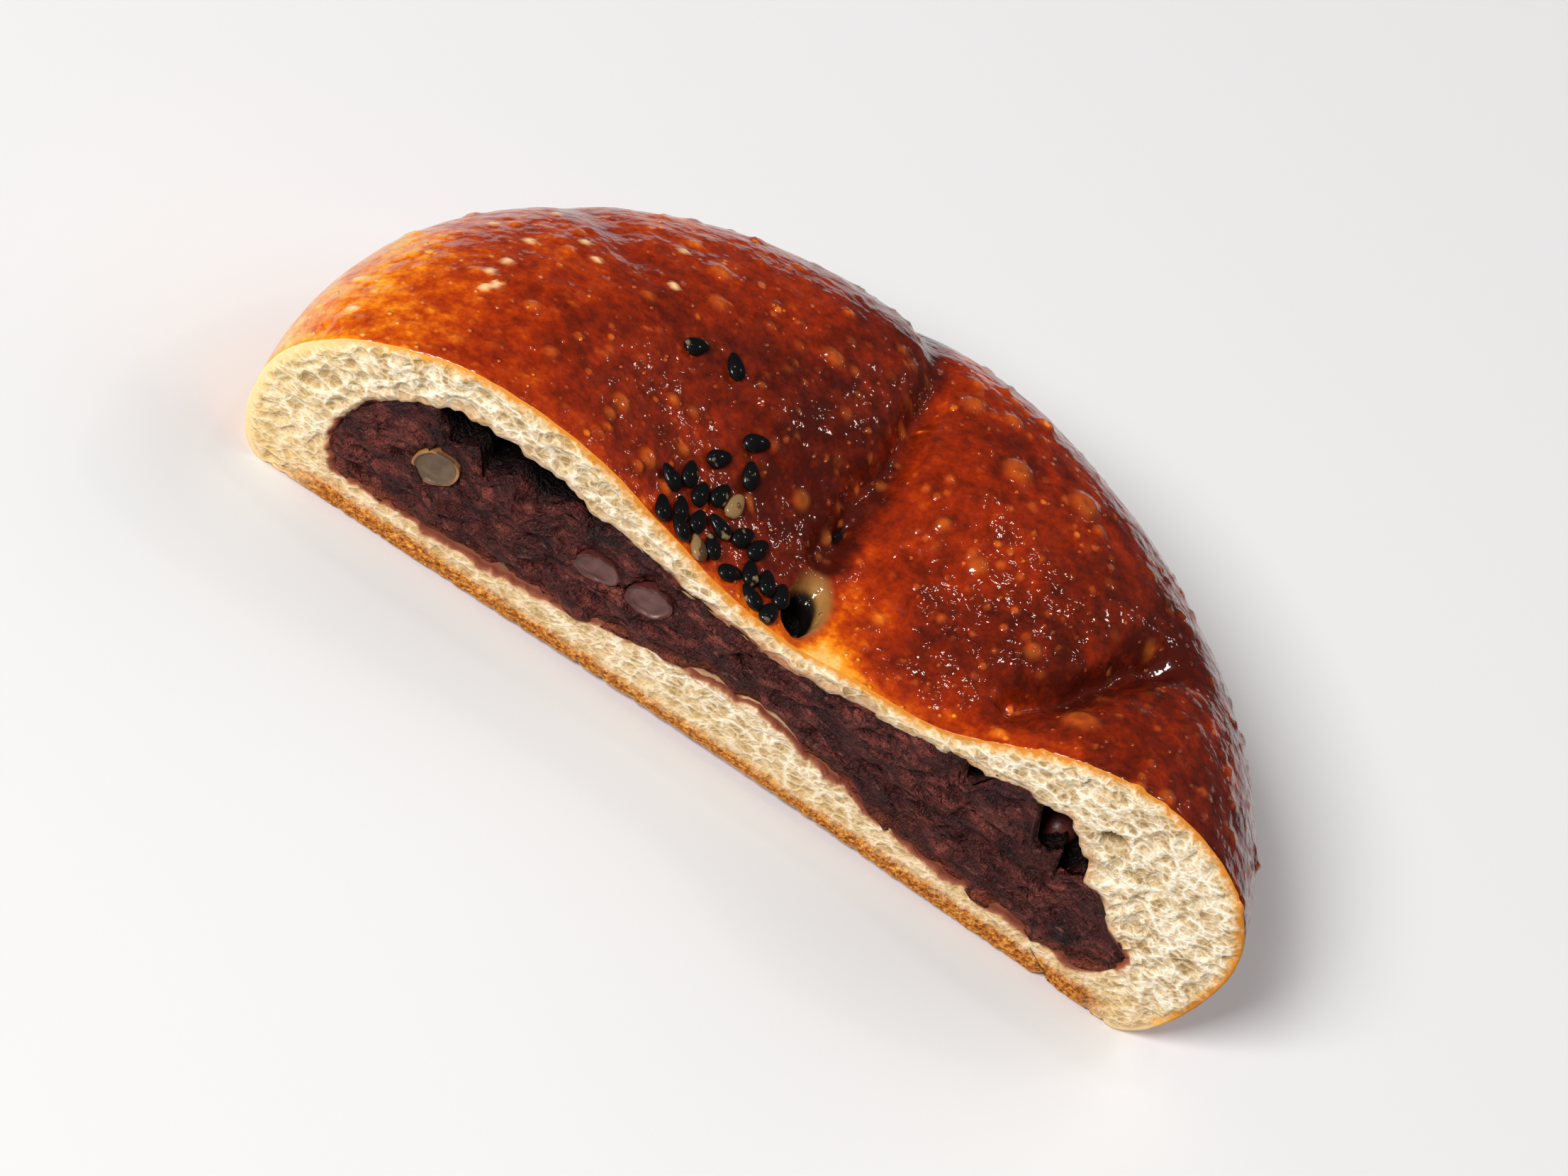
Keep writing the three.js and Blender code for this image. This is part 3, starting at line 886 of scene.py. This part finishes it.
def paste_between(x, y):
    """The paste's bottom and top at a place, and how lumpy its top is there."""
    r = min(math.hypot(x, y), POCKET_RADIUS - 0.2)
    side = x / (POCKET_RADIUS - 0.1) if y < 1 else x / r
    low_end = max(r - FLOOR_EDGE_RADIUS, 0) / (POCKET_RADIUS - FLOOR_EDGE_RADIUS)
    high_end = max(r - POCKET_CREST_RADIUS, 0) / (POCKET_RADIUS - POCKET_CREST_RADIUS)
    bottom = floor_height(min(r, FLOOR_EDGE_RADIUS))
    bottom += (POCKET_SIDE_HEIGHT - bottom) * (1 - math.sqrt(1 - min(low_end, 1) ** 2))
    bottom -= 0.3 + 0.35 * wobble(x, y, 0, 1.6, 51)
    top = roof_height(min(r, POCKET_CREST_RADIUS))
    top -= (top - POCKET_SIDE_HEIGHT) * (1 - math.sqrt(1 - min(high_end, 1) ** 2))
    top = sag(x, top - roof_drop(x, y))
    clear = clear_of_roof(r, side)
    lumpy = min(clear, 1)
    top += 0.35 - clear + lumpy * (2.4 * lumps(x, y, 0, 3.3, 53) + 1.1 * lumps(x, y, 0, 1.4, 57) - 1.8)
    top += (1 - lumpy) * 0.35 * wobble(x, y, 9, 1.5, 58)
    return sag(x, bottom), top, lumpy


def smeared(x, z, bottom, top, lumpy):
    """How far behind the cut the knife left the paste: smeared, crumbly in places, cracked and hollowed."""
    smear = wobble(0.6 * x, 0, 1.8 * z, 3.0, 61) + 0.6 * wobble(0.7 * x, 0, 1.6 * z, 1.3, 63)
    crumbly = lumps(x, 0, z, 3.4, 65) + 0.6 * lumps(x, 0, z, 1.5, 67)
    rough = smooth(-0.45, 0.35, wobble(x, 0, z, 7, 69))
    crack = smooth(0.09, 0, abs(wobble(0.6 * x, 0, 1.5 * z, 2.8, 71)))
    crack *= smooth(0, 0.3, wobble(x, 0, z, 4, 72))
    y = 0.25 - 0.8 * smear - 1.9 * (crumbly - 0.85) * (0.4 + 0.6 * rough) + crack
    y = max(y, 0.2 * (y + PROUDEST) - PROUDEST)
    y += 0.9 * smooth(0.8, 0, top - z) * lumpy
    y -= 0.25 * smooth(0.5, 0, min(top - z, z - bottom)) * (1 - lumpy)
    for hx, hz, half_width, half_height in HOLLOWS:
        y += HOLLOW_DEPTH * smooth(0.95, 0.7, math.hypot((x - hx) / half_width, (z - hz) / half_height))
    return y


bpy.ops.object.select_all(action="DESELECT")
bpy.ops.mesh.primitive_cube_add(size=1)
paste = bpy.context.object
paste.name = "red_bean_paste"
for axis, cuts in ((0, PASTE_COLUMNS - 1), (2, PASTE_ROWS - 1), (1, PASTE_LAYERS - 1)):
    others = [i for i in range(3) if i != axis]
    subdivide(paste, lambda a, b: all(abs(a[i] - b[i]) < 1e-6 for i in others), cuts)
levels = levels_for(paste, "soft_edge", "far_inside")
for v in paste.data.vertices:
    across, deep, up = 2 * v.co.x, v.co.y + 0.5, v.co.z + 0.5
    x = (POCKET_RADIUS - 0.1) * across
    y = deep**1.6 * math.sqrt(1 - 0.96 * across**2) * (POCKET_RADIUS - 1)
    bottom, top, lumpy = paste_between(x, y)
    z = bottom + (top - bottom) * up
    edge = 0.65 + wobble(x, 0, z, 2, 95)
    levels["soft_edge"][v.index] = smooth(1.5, 0.1, z - bottom) * edge
    if deep < 1e-6:
        y = smeared(x, z, bottom, top, lumpy)
    else:
        # painted shade: the paste behind the cut is marked to be coloured near black
        levels["far_inside"][v.index] = smooth(0.4, 1.7, y)
    v.co = Vector(((x - SKEW * y) * mm, cut_y + OVAL * y * mm, z * mm))
for name, values in levels.items():
    store(paste, name, values)
paste.data.polygons.foreach_set("use_smooth", [True] * len(paste.data.polygons))


def mashed_beans():
    """Dark red mash with bits of husk, creased where it was smeared, with painted shade in the creases."""
    m, shader = principled(
        "mashed_beans",
        Subsurface_Weight=0.12,
        Subsurface_Radius=(1.0, 0.35, 0.3),
        Subsurface_Scale=0.8 * mm,
        Specular_IOR_Level=0.24,
    )
    broad = grain(m, 5 * mm, 3, 0.6)
    smear = grain(m, 1.7 * mm, 4, 0.65, (0.55, 1, 1.4))
    stops = [(0.38, (0.015, 0.003, 0.003)), (0.5, (0.066, 0.011, 0.009)), (0.61, (0.21, 0.044, 0.032))]
    colour = ramp(m, plus(m, times(m, broad, 0.5), times(m, smear, 0.5)), stops)
    husk = remap(m, grain(m, 0.9 * mm, 2, 0.5, (0.5, 1, 1.5)), 0.62, 0.72)
    colour = blend(m, times(m, husk, 0.55), colour, (0.26, 0.085, 0.065))
    colour = blend(m, attribute(m, "soft_edge"), colour, (0.21, 0.045, 0.018))
    # painted shade: near black on the paste behind the cut, in the air spaces
    colour = blend(m, attribute(m, "far_inside"), colour, (0.004, 0.001, 0.001))
    crease_shade = cells(m, 1.9 * mm, "DISTANCE_TO_EDGE", (0.6, 1, 1.4), 1.6 * mm).outputs["Distance"]
    crease_shade = times(m, remap(m, crease_shade, 0.13, 0.02), remap(m, broad, 0.42, 0.6))
    # painted shade: dark lines along the creases
    colour = blend(m, times(m, crease_shade, 0.75), colour, (0.010, 0.002, 0.002))
    shape = bump(m, grain(m, 0.45 * mm, 3, 0.6), 0.5 * mm, bump(m, smear, 1.8 * mm))
    rough = plus(m, 0.2, times(m, grain(m, 1.2 * mm, 3), 0.4))
    wire(m, shader, Base_Color=colour, Roughness=rough, Normal=shape)
    return m


paste.data.materials.append(mashed_beans())
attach(paste, "root")
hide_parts("bean_paste")

# ---- Azuki beans ----
# Boiled beans that stayed whole when the rest was mashed, held by the paste round them. The knife went
# through three of them, so they show a ring of skin round the flesh. Two more stand in the right air space.
SKIN_SHARE = 0.90  # of a cut bean's half width is flesh
BEAN_TILT = 0.12
SETTLED_BY = Vector((0, 1.4, -1.5)) * mm  # the whole beans sank into the paste


def boiled_skin(name, dark, pale):
    m, shader = principled(name, Coat_Weight=0.08, Coat_Roughness=0.25, Specular_IOR_Level=0.2)
    cloud = grain(m, 1.1 * mm, 3)
    rough = plus(m, 0.25, times(m, cloud, 0.25))
    shape = bump(m, grain(m, 0.7 * mm), 0.1 * mm)
    wire(m, shader, Base_Color=blend(m, cloud, dark, pale), Roughness=rough, Normal=shape)
    return m


def bean_flesh(name, dark, pale):
    m, shader = principled(
        name,
        Roughness=0.42,
        Subsurface_Weight=0.3,
        Subsurface_Radius=(1.0, 0.7, 0.5),
        Subsurface_Scale=1.0 * mm,
        Coat_Weight=0.12,
        Coat_Roughness=0.2,
        Specular_IOR_Level=0.3,
    )
    cloud = grain(m, 1.1 * mm, 4, 0.6, (0.7, 1, 1.6))
    wire(m, shader, Base_Color=blend(m, cloud, dark, pale), Normal=bump(m, grain(m, 0.8 * mm), 0.12 * mm))
    return m


def plain_ball(name):
    """A ball with its poles towards the cut and away from it, to be shaped into a bean."""
    bpy.ops.object.select_all(action="DESELECT")
    bpy.ops.mesh.primitive_uv_sphere_add(segments=48, ring_count=32, radius=1)
    ball = bpy.context.object
    ball.name = name
    bpy.ops.object.mode_set(mode="EDIT")
    bpy.ops.mesh.select_all(action="SELECT")
    bpy.ops.transform.rotate(value=math.pi / 2, orient_axis="X", center_override=(0, 0, 0))
    bpy.ops.object.mode_set(mode="OBJECT")
    return ball


dark_skin = boiled_skin("boiled_bean_skin", (0.035, 0.008, 0.007), (0.13, 0.030, 0.026))
golden_skin = boiled_skin("pale_bean_skin", (0.14, 0.045, 0.018), (0.46, 0.22, 0.07))
tan_flesh = bean_flesh("tan_bean_flesh", (0.060, 0.032, 0.016), (0.165, 0.105, 0.058))
purple_flesh = bean_flesh("purple_bean_flesh", (0.045, 0.012, 0.010), (0.17, 0.075, 0.066))
for number, husk, flesh in (
    (1, golden_skin, tan_flesh),
    (2, dark_skin, purple_flesh),
    (3, dark_skin, purple_flesh),
    (4, dark_skin, None),
    (5, dark_skin, None),
):
    low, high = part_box(f"azuki_bean_{number}")
    middle = (low + high) / 2
    half = (high - low) / 2
    if not flesh:
        middle += SETTLED_BY
    bean = plain_ball(f"whole_bean_{number}")
    for v in bean.data.vertices:
        px, py, pz = v.co
        kidney = 1 + 0.05 * wobble(px, 0, pz, 1.3, 70 + number)
        kidney -= 0.06 * bell((px - 0.1) / 0.6) * smooth(0, -0.6, pz)
        x = middle.x + half.x * px * kidney
        y = middle.y + half.y * py * kidney
        z = middle.z + half.z * (pz + BEAN_TILT * px) * kidney
        if flesh:
            # the cut side is nearly flat, and the skin stands a little proud of the flesh
            y = cut_y + (high.y - cut_y) * py
            if py < 0:
                y = cut_y - 0.05 * mm + 0.3 * mm * wobble(px, 0, pz, 0.6, 80 + number)
                y += 0.25 * mm * smooth(SKIN_SHARE + 0.02, SKIN_SHARE - 0.12, math.hypot(px, pz))
            shoulder = middle.z + 0.7 * half.z
            z -= 0.5 * max(z - shoulder, 0)
        v.co = Vector((x, y, z))
    bean.data.materials.append(husk)
    if flesh:
        bean.data.materials.append(flesh)
        for face in bean.data.polygons:
            px = (face.center.x - middle.x) / half.x
            spread = math.hypot(px, (face.center.z - middle.z) / half.z - BEAN_TILT * px)
            face.material_index = int(face.center.y < cut_y + 0.5 * mm and spread < SKIN_SHARE)
    bean.data.polygons.foreach_set("use_smooth", [True] * len(bean.data.polygons))
    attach(bean, "root")
    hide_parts(f"azuki_bean_{number}")

# ---- Sesame seeds ----
# Black sesame, with two tan seeds among it, dropped on the wet glaze before baking, so each seed is stuck
# by its flat side. Some have rubbed and show the paler seed under the black coat.
SEED_GROWTH = 1.22  # swollen by the baking
SEED_SEAT = 0.34 * mm  # from the crust up to the middle of a seed
crust_shape = bvhtree.BVHTree.FromObject(dough, bpy.context.evaluated_depsgraph_get())


def seed_coat(name, dark, pale, worn):
    """A seed's coat. The lower worn is, the more of it is rubbed pale."""
    m, shader = principled(name, Coat_Weight=0.35, Coat_Roughness=0.07, Specular_IOR_Level=0.08)
    rubbed = remap(m, grain(m, 2.1 * mm, 2), worn, worn + 0.05)
    pits = grain(m, 0.22 * mm, 3)
    rough = plus(m, 0.45, times(m, pits, 0.25))
    shape = bump(m, pits, 0.03 * mm)
    wire(m, shader, Base_Color=blend(m, rubbed, dark, pale), Roughness=rough, Normal=shape)
    return m


def rounded_copy(cad_seed, name):
    """A copy of a plain CAD seed, welded and rounded."""
    bpy.ops.object.select_all(action="DESELECT")
    seed = cad_seed.copy()
    seed.data = seed.data.copy()
    seed.parent = None
    for key in list(seed.keys()):
        del seed[key]
    bpy.context.collection.objects.link(seed)
    seed.name = name
    seed.select_set(True)
    bpy.context.view_layer.objects.active = seed
    bpy.ops.object.mode_set(mode="EDIT")
    bpy.ops.mesh.select_all(action="SELECT")
    bpy.ops.mesh.remove_doubles(threshold=0.02 * mm)
    bpy.ops.mesh.tris_convert_to_quads()
    bpy.ops.object.mode_set(mode="OBJECT")
    bpy.ops.object.modifier_add(type="SUBSURF")
    seed.modifiers[0].levels = 2
    seed.modifiers[0].render_levels = 2
    bpy.ops.object.modifier_apply(modifier=seed.modifiers[0].name)
    return seed


black_coat = seed_coat("black_sesame_coat", (0.003, 0.003, 0.0035), (0.22, 0.15, 0.08), 0.63)
tan_coat = seed_coat("tan_sesame_coat", (0.075, 0.04, 0.016), (0.24, 0.14, 0.06), 0.45)
slots = {part["node"]: part["material_slot"] for part in frame["record"]["subparts"]}
for name in sorted(n for n in frame["nodes"] if n.startswith("sesame_seed")):
    seed = rounded_copy(frame["nodes"][name], name.replace("sesame_seed", "seed"))
    low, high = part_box(name)
    middle = (low + high) / 2
    spot, normal, _, _ = crust_shape.ray_cast(middle + Vector((0, 0, 10 * mm)), Vector((0, 0, -1)))
    seated = spot + normal * SEED_SEAT - middle
    for v in seed.data.vertices:
        v.co = middle + (v.co - middle) * SEED_GROWTH + seated
    seed.data.polygons.foreach_set("use_smooth", [True] * len(seed.data.polygons))
    seed.data.materials.clear()
    seed.data.materials.append(tan_coat if slots[name] == "tan_sesame" else black_coat)
    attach(seed, "root")
    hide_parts(name)

# ---- Table, light and camera ----
# A plain pale table top. A soft lamp at the front left does most of the lighting, a broad one behind fills
# the shadows without showing in the glaze, and two small ones above and behind make its glints. The camera
# looks down on the cut face and is turned about its own axis.
bpy.ops.object.select_all(action="DESELECT")
bpy.ops.mesh.primitive_plane_add(size=6, location=(0, 0, 0))
table = bpy.context.object
table.name = "table"
surface, _ = principled("pale_table", Base_Color=(0.80, 0.81, 0.83, 1), Roughness=0.55)
table.data.materials.append(surface)


def lamp(name, place, width, height, watts, colour):
    """A soft lamp, aimed at the middle of the bun."""
    bpy.ops.object.light_add(type="AREA", location=place)
    light = bpy.context.object
    light.name = name
    light.data.shape = "RECTANGLE"
    light.data.size = width
    light.data.size_y = height
    light.data.energy = watts
    light.data.color = colour
    light.rotation_euler = (Vector((0, 0, 10 * mm)) - Vector(place)).to_track_quat("-Z", "Y").to_euler()
    return light


WARM = (1.0, 0.87, 0.80)
lamp("key_lamp", (-0.75, -0.95, 1.0), 0.5, 0.5, 30, (1.0, 0.985, 0.96))
back_lamp = lamp("back_lamp", (0.75, 0.75, 1.0), 1.3, 1.1, 9, (1.0, 0.95, 0.92))
back_lamp.visible_glossy = False
lamp("top_lamp", (-0.05, 0.30, 1.3), 0.10, 0.07, 0.85, WARM)
lamp("side_lamp", (0.55, 0.55, 0.85), 0.10, 0.07, 0.55, WARM)

world = bpy.data.worlds.new("pale_room")
world.use_nodes = True
background = world.node_tree.nodes["Background"]
background.inputs["Color"].default_value = (0.80, 0.83, 0.88, 1)
background.inputs["Strength"].default_value = 0.07
bpy.context.scene.world = world
bpy.context.scene.view_settings.view_transform = "Standard"

AZIMUTH = math.radians(-12)
ELEVATION = math.radians(42)
ROLL = math.radians(42.1)
DISTANCE = 0.65
aim = Vector((0, cut_y + 17 * mm, 9 * mm))
towards = Vector(
    (
        math.sin(AZIMUTH) * math.cos(ELEVATION),
        -math.cos(AZIMUTH) * math.cos(ELEVATION),
        math.sin(ELEVATION),
    )
)
bpy.ops.object.camera_add(location=aim + DISTANCE * towards)
camera = bpy.context.object
level_turn = towards.to_track_quat("Z", "Y").to_matrix()
camera.rotation_euler = (level_turn @ Matrix.Rotation(ROLL, 3, "Z")).to_euler()
camera.data.lens = 150
bpy.context.scene.camera = camera
